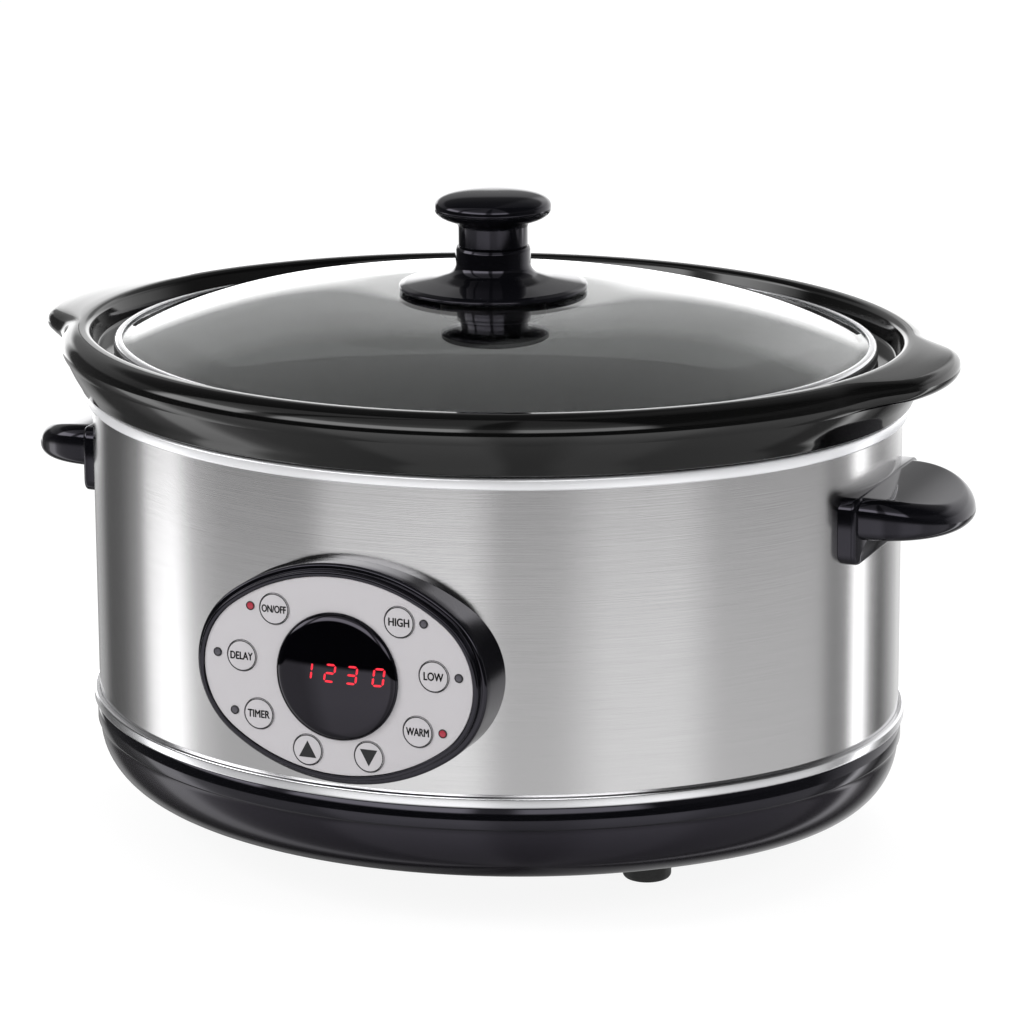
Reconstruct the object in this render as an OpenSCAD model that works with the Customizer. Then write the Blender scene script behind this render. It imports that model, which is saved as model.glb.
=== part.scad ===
// Oval electric slow cooker with a lift-out stoneware crock, a glass lid and a digital control pod.
// Millimetres, +Z up, origin on the table under the centre of the oval.
// Every oval is four tangent arcs whose centres and joins make 3-4-5 triangles, so walls, beads and
// rims are true offsets of one another.

/* [Body oval] */
// Half of the steel wall's length, along X
wall_a = 165; // [150:1:180]
// Half of the steel wall's depth, along Y
wall_b = 144; // [138:1:148]
// Thickness of the steel wall
wall_t = 0.8; // [0.6:0.1:1.2]
// Height of the wall's visible steel, between the two beads
wall_h = 119; // [100:1:140]

/* [Base] */
// Height of the rubber feet
foot_h = 17.6; // [12:0.2:22]
// Radius of a foot
foot_r = 9.6; // [7:0.2:12]
// Distance of the feet from the middle, along X
foot_x = 83.6; // [70:0.2:90]
// Distance of the feet from the middle, along Y
foot_y = 47.4; // [40:0.2:56]
// Height of the base's curved dish
dish_h = 24.8; // [18:0.2:32]
// How far the dish draws in below the wall
dish_in = 26; // [18:1:34]
// Height of the base's upright black band
band_h = 9.2; // [7:0.2:14]
// Wall of the moulded base
base_t = 2.6; // [2:0.1:3.5]

/* [Trim beads] */
// Height of a bright bead
bead_h = 4.6; // [3.5:0.1:6]
// How far a bead stands proud of the steel wall
bead_out = 2.2; // [1.5:0.1:3]
// Thickness of the top ring's inward web
web_t = 1; // [0.8:0.1:1.5]
// Width of the top ring's inward web
web_w = 9; // [6:0.5:10.5]

/* [Heating well] */
// Air gap between the steel wall's outside and the well's outside
well_gap = 12; // [11:0.5:15]
// Thickness of the aluminium well
well_t = 0.8; // [0.6:0.1:1.5]
// Depth of the heating well under the top trim's web
well_depth = 119.8; // [116:0.2:124]
// Height of the wire-wound heating band
heater_h = 38; // [25:1:50]
// Thickness of the heating band
heater_t = 1.5; // [1:0.1:2.5]
// Thickness of the glass-fibre insulation
wool_t = 4.4; // [3:0.2:5]
// Radius of the tie stud under the well
stud_r = 3; // [2:0.25:4]

/* [Crock] */
// Clearance between the well and the crock's wall
crock_gap = 1.6; // [1.2:0.1:3]
// Thickness of the stoneware
crock_t = 7; // [5:0.5:9]
// Thickness of the crock's floor
crock_floor_t = 8; // [6:0.5:10]
// Height of the crock's rim above the top bead
rim_h = 25.4; // [22:0.2:30]
// How far the rim flares out past the steel wall
rim_out = 11.6; // [8:0.2:14]
// How far the grip wings reach past the rim
wing_out = 14; // [8:0.5:18]
// Half of a wing's flat width
wing_w = 22; // [16:1:28]
// Thickness of a wing
wing_t = 9; // [7:0.5:12]
// Gap between parts that lift off one another
lift_gap = 0.3; // [0.2:0.05:0.5]

/* [Lid] */
// Gap between the lid and the crock's mouth at the two ends
lid_end_gap = 8.4; // [6:0.2:9]
// Gap between the lid and the crock's mouth at the front and back
lid_side_gap = 2.4; // [1.6:0.2:3]
// Height of the steel ring around the glass
lid_ring_h = 6; // [5.5:0.1:7]
// Width of the ring's lips over the glass
lid_lip = 3.4; // [3:0.2:5]
// Thickness of the glass
glass_t = 4; // [3:0.2:4.2]
// Rise of the glass dome
dome_h = 20; // [14:0.5:24]
// Width of the dome's curved slope
dome_w = 104; // [90:1:108]

/* [Knob] */
// Radius of the knob's skirt
skirt_r = 37.6; // [30:0.2:42]
// Thickness of the skirt's edge
skirt_t = 3; // [2.4:0.1:4]
// Radius of the knob's stem
stem_r = 14; // [11:0.2:16]
// Height of the stem
stem_h = 19.6; // [16:0.2:24]
// Radius of the knob's head
head_r = 23.4; // [18:0.2:27]
// Height of the knob's head
head_h = 13.8; // [12:0.2:16]
// Radius of the washer under the glass
knob_washer_r = 21; // [16:0.5:24]
// Thickness of the washer under the glass
knob_washer_t = 8; // [5:0.5:10]

/* [Side handles] */
// Height of the top trim's upper edge above the handles' middle
handle_drop = 34.8; // [32:0.2:44]
// Half width of a handle's mounting plate
plate_w = 40; // [34:1:46]
// Height of the mounting plate
plate_h = 26.4; // [24:0.2:34]
// Thickness of the mounting plate
plate_t = 6; // [4:0.5:8]
// Corner radius of the mounting plate
plate_r = 5; // [3:0.5:8]
// Reach of the grip from the steel wall
grip_out = 34; // [30:1:38]
// Half width of the grip, which ends in half an ellipse
grip_root = 37; // [34:1:38]
// How far the grip's top falls towards its nose
grip_droop = 7; // [4:0.5:8]
// Radius of the nose's edges
nose_r = 5; // [3:0.5:6]
// Thickness of the grip
grip_t = 15.4; // [12:0.2:20]

/* [Control pod] */
// Height of the top trim's upper edge above the pod's middle
pod_drop = 77.2; // [76:0.2:79]
// Distance of the pod's front face from the middle of the oval
pod_y = 155.4; // [154:0.2:160]
// Half width of the pod
pod_a = 59.5; // [58:0.1:61]
// Half height of the pod
pod_b = 43; // [42:0.2:43.6]
// Wall of the pod's housing
pod_t = 1.6; // [1.4:0.1:1.8]
// Width of the pod's rim around the fascia
rim_w = 4.5; // [4:0.1:5]
// Depth of the rim's lip around the fascia
lip_h = 0.6; // [0.4:0.1:1.5]
// Thickness of the metal fascia
fascia_t = 1.5; // [1:0.1:2]
// Thickness of the wall behind the fascia
backing_t = 2; // [1.5:0.1:2.5]
// Radius of the round display window
lens_r = 24.4; // [22:0.2:25]
// Height of the window's dome above the fascia
lens_h = 3.8; // [2.5:0.1:5]

/* [Buttons] */
// Radius of a button's cap
button_r = 6; // [5:0.1:6.4]
// Clearance around a cap or a lamp
button_gap = 0.3; // [0.2:0.05:0.5]
// Travel of a button
travel = 0.5; // [0.3:0.05:0.6]
// How far a cap stands proud of the fascia
cap_proud = 0.4; // [0.2:0.05:0.8]
// Radius of an indicator lamp
lamp_r = 1.45; // [1.2:0.05:1.8]

/* [Electronics] */
// Thickness of the circuit boards
board_t = 1.6; // [1.2:0.1:2]
// Distance from the control board to the pod's backing wall
board_drop = 7.4; // [6.8:0.1:8.4]
// Height of a switch body
switch_h = 3.5; // [3:0.1:3.8]
// Length of the power board
power_l = 84; // [70:1:96]
// Width of the power board
power_w = 32; // [28:1:36]
// Radius of the mains cord's hole in the gland
cord_r = 3.6; // [3:0.1:4.5]

/* [Fasteners] */
// Radius of the small screws
screw_r = 1.5; // [1.25:0.05:1.75]
// Radius of the handle and foot screws
bolt_r = 2; // [1.75:0.05:2.5]
// Radial clearance around a screw
screw_gap = 0.1; // [0.05:0.01:0.15]

/* [Hidden] */
$fn = 72;

// An oval of four tangent arcs: [half length, half depth, end radius, end centre, side centre,
// side radius, cosine and sine of the joins]
function oval(a, b) =
    let (k = (a - b) / 2)
    [a, b, a - 4 * k, 4 * k, 3 * k, a + k, [0.8, 0.6]];
// The same with rounder ends
function round_oval(a, b) =
    let (k = (a - b) / 2)
    [a, b, a - 3 * k, 3 * k, 4 * k, a + 2 * k, [0.6, 0.8]];
function band(d, z0, z1) = [[d, z0], [d, z1]];

body_oval = oval(wall_a, wall_b);
mouth = -2.2;
lid_oval = oval(wall_a + mouth - lid_end_gap, wall_b + mouth - lid_side_gap);
pod_oval = round_oval(pod_a, pod_b);
wall_r = body_oval[2];

// Heights of the base
dish_top = foot_h + dish_h;
band_top = dish_top + band_h;
wall_z0 = band_top + web_t;
wall_top = band_top + bead_h + wall_h;
trim_top = wall_top + bead_h;
flange_top = trim_top - web_t;
well_floor_z = flange_top - well_depth;
handle_z = trim_top - handle_drop;
pod_z = trim_top - pod_drop;
cut = 1;
step = 0.1;

// Offsets from the wall's oval, negative is inwards
well_out = -well_gap;
well_in = well_out - well_t;
crock_out = well_in - crock_gap;
crock_in = crock_out - crock_t;
lip_in = 3;
lip_w = 2.4;
lip_up = 7;
opening_a = 80;
opening_b = 59;
plate_lap = 7;
bottom_plate_t = 1.2;

// Heights of the crock, its rim and the lid
rest_z = trim_top + lift_gap;
rim_top = trim_top + rim_h;
seat_z = rim_top - 9.8;
crock_z0 = well_floor_z + well_t + 2.4;
ledge_in = -15;
lid_z0 = seat_z + lift_gap;
lip_t = 1;
glass_z0 = lid_z0 + lip_t;
plateau_z = glass_z0 + glass_t + dome_h;

// The pod is drawn looking at it: its own Z is the way out to the front
front_z = pod_y - lip_h;
fascia_z0 = front_z - fascia_t;
backing_z0 = fascia_z0 - backing_t;
board_z1 = backing_z0 - board_drop;
board_z0 = board_z1 - board_t;
skirt_in = 3;
flange_t = 1.2;
flange_w = 0.8;
plunger_h = 0.9;
plunger_z1 = board_z1 + switch_h + plunger_h;
post_z0 = plunger_z1 + travel + step;
cap_flange_z1 = backing_z0 - button_gap;
spigot_r = lens_r - 2.4;
gland_y = 145.2;
gland_in = 134;
gland_z = foot_h + 22;
gland_r = 7;
gland_flange_t = 3;
gland_boss_r = 11;
gland_end = front_z + lens_h;

// Places on the fascia, from its middle: buttons, lamps and board screws
power_xy = [-25.6, 23.8];
delay_xy = [-39.4, 4.2];
timer_xy = [-32.7, -18];
up_xy = [-12.6, -30];
function mirrored(p) = [-p[0], p[1]];
BUTTONS = [power_xy, delay_xy, timer_xy, up_xy,
    mirrored(up_xy), mirrored(timer_xy), mirrored(delay_xy), mirrored(power_xy)];
LAMPS = [for (p = [[35.5, 24.1], [49.5, 4.6], [42.8, -17.6]], s = [-1, 1]) [s * p[0], p[1]]];
BOSSES = [for (p = [[48, -7], [14, 31]], s = [-1, 1]) [s * p[0], p[1]]];
boss_r = 3;
FEET = [for (x = [-1, 1], y = [-1, 1]) [x * foot_x, y * foot_y]];
power_y = 82;
POWER_CORNERS = [for (x = [-1, 1], y = [-1, 1])
    [x * (power_l / 2 - 5), power_y + y * (power_w / 2 - 4)]];
spacer_h = 6;
handle_bolt_y = 22;
sensor_xy = [38, -30];
sensor_r = 7;
sensor_h = 6;
fuse_r = 2.5;
fuse_l = 24;
fuse_clip = [6, 8, 4];
relay = [19, 15, 15];
transformer = [24, 20, 14];
capacitor_r = 5;
capacitor_h = 12;

// ---------- shared shapes ----------

// One arc's share of an oval: a solid of revolution cut to the wedge that opens towards +X, whose
// half angle has the given cosine and sine
module sector(radius, prof, reach, dir) {
    last = len(prof) - 1;
    intersection() {
        rotate([0, 0, 180]) rotate_extrude() polygon(concat([[0, prof[0][1]]],
            [for (p = prof) [radius + p[0], p[1]]], [[0, prof[last][1]]]));
        translate([0, 0, prof[0][1] - cut]) linear_extrude(prof[last][1] - prof[0][1] + 2 * cut)
            polygon([[0, 0], [dir[0] * reach, -dir[1] * reach], [dir[0] * reach, dir[1] * reach]]);
    }
}

// A solid oval whose side follows prof, a list of [offset, height] from bottom to top
module oval_solid(o, prof) {
    reach = 3 * o[0];
    for (turn = [0, 180]) rotate([0, 0, turn]) {
        translate([o[3], 0, 0]) sector(o[2], prof, reach, o[6]);
        translate([0, -o[4], 0]) rotate([0, 0, 90]) sector(o[5], prof, reach, [o[6][1], o[6][0]]);
    }
}

module oval_plate(o, d, z0, z1) {
    oval_solid(o, band(d, z0, z1));
}

module oval_ring(o, d0, d1, z0, z1) {
    difference() {
        oval_plate(o, d1, z0, z1);
        oval_plate(o, d0, z0 - cut, z1 + cut);
    }
}

// Puts children on the pod's axes
module on_pod() {
    translate([0, 0, pod_z]) rotate([90, 0, 0]) children();
}

module peg(r, z0, z1, xy = [0, 0]) {
    translate([xy[0], xy[1], z0]) cylinder(r = r, h = z1 - z0);
}

// A cylinder along X from x0 to x1
module peg_x(r, x0, x1, y, z) {
    translate([x0, y, z]) rotate([0, 90, 0]) cylinder(r = r, h = x1 - x0);
}

// A cylinder along Y from y0 to y1
module peg_y(r, y0, y1, x, z) {
    translate([x, y1, z]) rotate([90, 0, 0]) cylinder(r = r, h = y1 - y0);
}

// The round column of space behind the steel wall's front, grown by d
module front_column(d, z0, z1) {
    translate([0, body_oval[4], z0]) cylinder(r = body_oval[5] + d, h = z1 - z0, $fn = 180);
}

function arc(cx, cy, r, a0, a1, n) = [for (i = [0:n]) let (t = a0 + (a1 - a0) * i / n) [cx + r * cos(t), cy + r * sin(t)]];

// ---------- base ----------

module outer_shell() {
    color([0.78, 0.78, 0.78]) difference() {
        oval_ring(body_oval, -wall_t, 0, wall_z0, flange_top - step);
        on_pod() oval_plate(pod_oval, -skirt_in + step, pod_y - 40, pod_y + cut);
        for (x = [-1, 1], y = [-1, 1])
            peg_x(bolt_r + screw_gap, x > 0 ? wall_a - 12 : -wall_a - cut, x > 0 ? wall_a + cut : -wall_a + 12,
                y * handle_bolt_y, handle_z);
    }
}

module bead_profile(z0) {
    oval_solid(body_oval, [[bead_out - 1.2, z0], [bead_out - 0.4, z0 + 0.5], [bead_out, z0 + 1.5],
        [bead_out, z0 + bead_h - 1.5], [bead_out - 0.4, z0 + bead_h - 0.5], [bead_out - 1.2, z0 + bead_h]]);
}

module top_trim_ring() {
    color([0.92, 0.92, 0.93]) difference() {
        bead_profile(wall_top);
        oval_plate(body_oval, step, wall_top - cut, flange_top);
        oval_plate(body_oval, -web_w, wall_top - 2 * cut, trim_top + cut);
    }
}

module bottom_trim_ring() {
    color([0.92, 0.92, 0.93]) difference() {
        bead_profile(band_top);
        oval_plate(body_oval, step, wall_z0, band_top + bead_h + cut);
        oval_plate(body_oval, -2 * wall_t - step, band_top - cut, wall_z0 + cut);
    }
}

function dish_profile(d, z0) = [
    for (i = [0:6]) let (t = 90 * i / 6)
        [d - dish_in * (1 - pow(sin(t), 0.8)), z0 + (dish_top - z0) * (1 - cos(t))]
];

module base_pan() {
    color([0.05, 0.05, 0.06]) difference() {
        union() {
            difference() {
                union() {
                    oval_solid(body_oval, concat(dish_profile(0, foot_h), [[1, dish_top + 0.6], [1, band_top]]));
                    oval_plate(body_oval, -lip_in, band_top - cut, band_top + lip_up);
                }
                oval_solid(body_oval, concat(dish_profile(-base_t, foot_h + base_t),
                    [[1 - base_t, dish_top + 0.6], [1 - base_t, band_top - base_t],
                     [-lip_in - lip_w, band_top], [-lip_in - lip_w, band_top + lip_up + cut]]));
            }
            peg_y(gland_boss_r, gland_in, gland_y, 0, gland_z);
        }
        oval_plate(oval(opening_a, opening_b), 0, foot_h - cut, foot_h + base_t + cut);
        for (p = FEET) peg(bolt_r + screw_gap, foot_h - cut, foot_h + base_t + cut, p);
        for (p = POWER_CORNERS) peg(screw_r + screw_gap, foot_h - cut, foot_h + base_t + cut, p);
        peg_y(gland_r + screw_gap, gland_in - cut, gland_y + cut, 0, gland_z);
    }
}

module bottom_plate() {
    color([0.6, 0.6, 0.6]) difference() {
        oval_plate(oval(opening_a, opening_b), plate_lap, foot_h - bottom_plate_t, foot_h);
        peg(stud_r + screw_gap, 0, foot_h + cut);
        for (x = [-45, -35, -25, 25, 35, 45], y = [-1, 1])
            translate([x - 1.5, y * 14 - 9, foot_h - bottom_plate_t - cut]) cube([3, 18, bottom_plate_t + 2 * cut]);
    }
}

module rubber_feet() {
    color([0.03, 0.03, 0.03]) for (p = FEET) translate([p[0], p[1], 0]) difference() {
        rotate_extrude() polygon(concat([[0, 0]], arc(foot_r - 2, 2, 2, -90, 0, 4), [[foot_r, foot_h], [0, foot_h]]));
        translate([0, 0, 6]) cylinder(r = bolt_r + screw_gap, h = foot_h);
    }
}

module foot_screws() {
    color([0.7, 0.7, 0.72]) for (p = FEET) {
        peg(bolt_r, 7, foot_h + base_t, p);
        peg(2 * bolt_r, foot_h + base_t, foot_h + base_t + 2, p);
    }
}

// ---------- heating ----------

module heating_well() {
    color([0.8, 0.8, 0.82]) difference() {
        union() {
            oval_solid(body_oval, [[well_out - 8, well_floor_z], [well_out - 2, well_floor_z + 2],
                [well_out, well_floor_z + 8], [well_out, flange_top]]);
            oval_plate(body_oval, -wall_t - step, flange_top - well_t, flange_top);
        }
        oval_solid(body_oval, [[well_in - 8, well_floor_z + well_t], [well_in - 2, well_floor_z + well_t + 2],
            [well_in, well_floor_z + well_t + 8], [well_in, flange_top + cut]]);
    }
}

module heating_band() {
    color([0.75, 0.72, 0.66])
        oval_ring(body_oval, well_out, well_out + heater_t, well_floor_z + 12, well_floor_z + 12 + heater_h);
}

module insulation_wrap() {
    z0 = well_floor_z + 14 + heater_h;
    color([0.95, 0.93, 0.85])
        oval_ring(body_oval, well_out, well_out + wool_t, z0, flange_top - well_t - 12);
}

module tie_stud() {
    color([0.75, 0.75, 0.76]) {
        peg(stud_r, foot_h - 8, well_floor_z);
        peg(4 * stud_r, well_floor_z - 1.5, well_floor_z);
    }
}

module tie_nut() {
    color([0.7, 0.7, 0.72]) difference() {
        union() {
            translate([0, 0, foot_h - bottom_plate_t - 5]) cylinder(r = 2 * stud_r, h = 4, $fn = 6);
            peg(3 * stud_r, foot_h - bottom_plate_t - 1, foot_h - bottom_plate_t);
        }
        peg(stud_r + screw_gap, 0, foot_h + cut);
    }
}

module temperature_sensor() {
    color([0.85, 0.85, 0.8]) {
        peg(sensor_r, well_floor_z - sensor_h, well_floor_z, sensor_xy);
        peg(sensor_r / 3, well_floor_z - 3 * sensor_h, well_floor_z - sensor_h, sensor_xy);
    }
}

module thermal_fuse() {
    z = well_floor_z - fuse_clip[2];
    color([0.9, 0.88, 0.8]) {
        peg_x(fuse_r, -sensor_xy[0] - fuse_l / 2, -sensor_xy[0] + fuse_l / 2, sensor_xy[1], z);
        translate([-sensor_xy[0] - fuse_clip[0] / 2, sensor_xy[1] - fuse_clip[1] / 2, z]) cube(fuse_clip);
    }
}

// ---------- handles ----------

// The grip seen from above: straight out of the plate, then half an ellipse
grip_x0 = wall_a - 2;
grip_x1 = wall_a + grip_out;
function grip_outline() = concat([[wall_a - plate_t, -grip_root]],
    [for (t = [-90:9:90]) [grip_x0 + (grip_x1 - grip_x0) * cos(t), grip_root * sin(t)]],
    [[wall_a - plate_t, grip_root]]);

// The grip seen from the front: flat below, falling above, with a round nose
function grip_top(x) = plate_h / 2 - 0.2 - grip_droop * pow(max(0, x - wall_a) / grip_out, 2);
function grip_side() = let (low = plate_h / 2 - 1.4 - grip_t, x1 = grip_x1 + step)
    concat([[wall_a - plate_t, low]],
        arc(x1 - nose_r, low + nose_r, nose_r, -90, 0, 5),
        arc(x1 - nose_r, grip_top(x1) - nose_r, nose_r, 0, 70, 5),
        [for (i = [7:-1:0]) let (x = wall_a + (grip_out - nose_r) * i / 8) [x, grip_top(x)]],
        [[wall_a - plate_t, grip_top(wall_a)]]);

module handle_body() {
    difference() {
        union() {
            intersection() {
                translate([body_oval[3], 0, handle_z - plate_h]) cylinder(r = wall_r + plate_t, h = 2 * plate_h);
                translate([wall_a - 20, 0, handle_z]) rotate([90, 0, 90]) linear_extrude(40)
                    polygon([for (s = [[1, 1, 0], [-1, 1, 90], [-1, -1, 180], [1, -1, 270]], i = [0:5])
                        [s[0] * (plate_w - plate_r) + plate_r * cos(s[2] + 18 * i),
                         s[1] * (plate_h / 2 - plate_r) + plate_r * sin(s[2] + 18 * i)]]);
            }
            intersection() {
                translate([0, 0, handle_z - plate_h]) linear_extrude(2 * plate_h) polygon(grip_outline());
                translate([0, plate_w, handle_z]) rotate([90, 0, 0]) linear_extrude(2 * plate_w) polygon(grip_side());
            }
        }
        translate([body_oval[3], 0, 0]) cylinder(r = wall_r + step, h = 2 * handle_z, $fn = 180);
        for (y = [-1, 1]) peg_x(bolt_r + screw_gap, wall_a - 20, wall_a + 14, y * handle_bolt_y, handle_z);
    }
}

module right_handle() {
    color([0.03, 0.03, 0.04]) handle_body();
}

module left_handle() {
    color([0.03, 0.03, 0.04]) mirror([1, 0, 0]) handle_body();
}

// Where the wall's inside is at the handle bolts
bolt_seat = body_oval[3] + sqrt(pow(wall_r - wall_t, 2) - pow(handle_bolt_y + 2 * bolt_r, 2));

module handle_screws() {
    color([0.7, 0.7, 0.72]) for (s = [0, 1]) mirror([s, 0, 0]) for (y = [-1, 1]) {
        peg_x(bolt_r, bolt_seat, wall_a + 13, y * handle_bolt_y, handle_z);
        peg_x(2 * bolt_r, bolt_seat - 2.4, bolt_seat, y * handle_bolt_y, handle_z);
    }
}

// ---------- control pod ----------

// The pod's outside up to its front: a skirt, a rounded outer ring, a groove and a raised inner ring
function pod_profile() = [[0, pod_y - 45], [0, pod_y - 4.4], [-0.5, pod_y - 3.4], [-1.4, pod_y - 3],
    [-2.2, pod_y - 3.2], [-2.3, pod_y - 1], [-2.8, pod_y - 0.2], [-3.4, pod_y]];

module control_pod() {
    color([0.03, 0.03, 0.04]) difference() {
        union() {
            difference() {
                on_pod() oval_solid(pod_oval, pod_profile());
                front_column(step, pod_z - pod_b - cut, pod_z + pod_b + cut);
            }
            on_pod() oval_plate(pod_oval, -skirt_in, pod_y - 30, pod_y - 5);
        }
        on_pod() {
            oval_plate(pod_oval, -skirt_in - pod_t, pod_y - 60, backing_z0);
            oval_plate(pod_oval, -rim_w + button_gap, fascia_z0, pod_y + cut);
            peg(spigot_r + button_gap, backing_z0 - cut, pod_y);
            for (p = BUTTONS) peg(button_r + button_gap, backing_z0 - cut, pod_y, p);
            for (p = LAMPS) peg(lamp_r + button_gap, backing_z0 - cut, pod_y, p);
        }
        front_column(-5, pod_z - pod_b - cut, pod_z + pod_b + cut);
    }
    color([0.03, 0.03, 0.04]) on_pod() for (p = BOSSES) difference() {
        peg(boss_r, board_z1, backing_z0 + step, p);
        peg(screw_r + screw_gap, board_z1 - cut, backing_z0 - step, p);
    }
}

module pod_retainer() {
    color([0.4, 0.4, 0.42]) difference() {
        intersection() {
            on_pod() oval_plate(pod_oval, 4, pod_y - 40, pod_y);
            front_column(-wall_t, pod_z - pod_b - 9, pod_z + pod_b + 9);
        }
        front_column(-wall_t - 1.5, pod_z - pod_b - 10, pod_z + pod_b + 10);
        on_pod() oval_plate(pod_oval, -skirt_in + step, pod_y - 60, pod_y + cut);
    }
}

module fascia_plate() {
    color([0.84, 0.83, 0.84]) on_pod() difference() {
        oval_plate(pod_oval, -rim_w, fascia_z0, front_z);
        peg(spigot_r + button_gap, fascia_z0 - cut, pod_y);
        for (p = BUTTONS) peg(button_r + button_gap, fascia_z0 - cut, pod_y, p);
        for (p = LAMPS) peg(lamp_r + button_gap, fascia_z0 - cut, pod_y, p);
    }
}

module display_lens() {
    edge = 1.2;
    color([0.05, 0.05, 0.07]) on_pod() rotate_extrude() polygon(concat(
        [[0, backing_z0], [spigot_r, backing_z0], [spigot_r, front_z], [lens_r, front_z], [lens_r, front_z + edge]],
        [for (i = [1:6]) let (t = 15 * i) [lens_r * cos(t), front_z + edge + (lens_h - edge) * sin(t)]]));
}

module display_module() {
    color([0.1, 0.1, 0.1]) on_pod() translate([-19, -8, board_z1]) cube([38, 16, backing_z0 - board_z1 - step]);
}

module indicator_lamps() {
    color([0.8, 0.1, 0.15]) on_pod() for (p = LAMPS) {
        peg(lamp_r, board_z1, front_z + step, p);
    }
}

module control_board() {
    color([0.1, 0.35, 0.15]) on_pod() difference() {
        oval_plate(pod_oval, -skirt_in - pod_t - 0.4, board_z0, board_z1);
        for (p = BOSSES) peg(screw_r + screw_gap, board_z0 - cut, board_z1 + cut, p);
    }
}

module tact_switches() {
    size = 6;
    color([0.15, 0.15, 0.15]) on_pod() for (p = BUTTONS) {
        translate([p[0] - size / 2, p[1] - size / 2, board_z1]) cube([size, size, switch_h]);
        peg(1.75, board_z1, plunger_z1, p);
    }
}

module board_screws() {
    color([0.7, 0.7, 0.72]) on_pod() for (p = BOSSES) {
        peg(screw_r, board_z0, backing_z0 - 1, p);
        peg(2 * screw_r, board_z0 - 1.6, board_z0, p);
    }
}

// ---------- power side ----------

module power_board() {
    z = foot_h + base_t + spacer_h;
    color([0.1, 0.35, 0.15]) difference() {
        translate([-power_l / 2, power_y - power_w / 2, z]) cube([power_l, power_w, board_t]);
        for (p = POWER_CORNERS) peg(screw_r + screw_gap, z - cut, z + board_t + cut, p);
    }
}

module power_parts() {
    z = foot_h + base_t + spacer_h + board_t;
    color([0.15, 0.3, 0.6]) {
        translate([-transformer[0] / 2, power_y - transformer[1] / 2, z]) cube(transformer);
        translate([-transformer[0] / 2 - 3 - relay[0], power_y - relay[1] / 2, z]) cube(relay);
        peg(capacitor_r, z, z + capacitor_h, [transformer[0] / 2 + 3 + capacitor_r, power_y]);
    }
}

module power_spacers() {
    color([0.7, 0.7, 0.72]) for (p = POWER_CORNERS) {
        difference() {
            peg(3.5, foot_h + base_t, foot_h + base_t + spacer_h, p);
            peg(screw_r + screw_gap, foot_h, foot_h + base_t + spacer_h + cut, p);
        }
        peg(screw_r, foot_h + base_t - 1, foot_h + base_t + spacer_h + board_t + step, p);
        peg(2 * screw_r, foot_h + base_t + spacer_h + board_t, foot_h + base_t + spacer_h + board_t + 1.6, p);
    }
}

module cord_gland() {
    flange_y1 = gland_y + gland_flange_t;
    color([0.04, 0.04, 0.04]) difference() {
        union() {
            peg_y(gland_r, gland_in - 8, gland_y + cut, 0, gland_z);
            peg_y(gland_boss_r - 1, gland_y, flange_y1, 0, gland_z);
            translate([0, gland_end, gland_z]) rotate([90, 0, 0])
                cylinder(r1 = cord_r + 1.6, r2 = gland_r, h = gland_end - flange_y1 + step);
        }
        peg_y(cord_r, 120, gland_end + cut, 0, gland_z);
    }
}

module gland_nut() {
    color([0.04, 0.04, 0.04]) difference() {
        translate([0, gland_in, gland_z]) rotate([90, 0, 0]) cylinder(r = gland_r + 4, h = 5, $fn = 6);
        peg_y(gland_r + screw_gap, 110, 140, 0, gland_z);
    }
}

// ---------- buttons ----------

module button(xy) {
    color([0.84, 0.83, 0.84]) on_pod() {
        peg(button_r, cap_flange_z1 - flange_t, front_z + cap_proud, xy);
        peg(button_r + flange_w, cap_flange_z1 - flange_t, cap_flange_z1, xy);
        peg(1.6, post_z0, cap_flange_z1, xy);
    }
}

module power_button() { button(BUTTONS[0]); }
module delay_button() { button(BUTTONS[1]); }
module timer_button() { button(BUTTONS[2]); }
module up_button() { button(BUTTONS[3]); }
module down_button() { button(BUTTONS[4]); }
module warm_button() { button(BUTTONS[5]); }
module low_button() { button(BUTTONS[6]); }
module high_button() { button(BUTTONS[7]); }

// ---------- crock ----------

// The rim's outside, from its hidden foot, under the skirt and over the crown
function crock_outside() = [
    [crock_out - 14, crock_z0], [crock_out - 5, crock_z0 + 3], [crock_out - 2, crock_z0 + 12],
    [crock_out, rest_z - 30], [crock_out, rest_z - 2], [well_in, rest_z],
    [-7.6, rest_z], [-6, rest_z + 5], [-3, rest_z + 8], [0.6, rest_z + 8], [1.4, rest_z + 2],
    [2.4, rest_z + 0.4], [3.6, rest_z + 1], [4.4, rest_z + 3],
    [rim_out - 0.6, rim_top - 9.5], [rim_out, rim_top - 7], [rim_out - 0.6, rim_top - 4],
    [rim_out - 2.2, rim_top - 1.6], [rim_out - 4.4, rim_top - 0.3], [rim_out - 6.4, rim_top]
];

function crock_inside() = [
    [crock_in - 20, crock_z0 + crock_floor_t], [crock_in - 9, crock_z0 + crock_floor_t + 3],
    [crock_in - 3, crock_z0 + crock_floor_t + 12], [crock_in, rest_z - 14],
    [ledge_in - 1, seat_z - 3], [ledge_in, seat_z], [mouth - 1, seat_z], [mouth, seat_z + 1.4],
    [mouth + 0.8, rim_top - 4], [mouth + 2.6, rim_top - 1.4], [mouth + 5, rim_top + step]
];

function wing_reach(y) = let (v = min(1, max(0, (abs(y) - wing_w) / 26))) (1 - v * v * (3 - 2 * v)) * wing_out;

function rim_x(y) = body_oval[3] + sqrt(pow(wall_r + rim_out, 2) - y * y) - 1;

module wings() {
    top = rim_top - 0.6;
    for (s = [0, 1]) mirror([s, 0, 0]) translate([0, 0, top - wing_t])
        linear_extrude(wing_t) polygon(concat([[wall_a - 12, -46]],
            [for (y = [-46:4:46]) [rim_x(y) + wing_reach(y) - 0.004 * y * y * (wing_reach(y) / wing_out), y]],
            [[wall_a - 12, 46]]));
}

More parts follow.
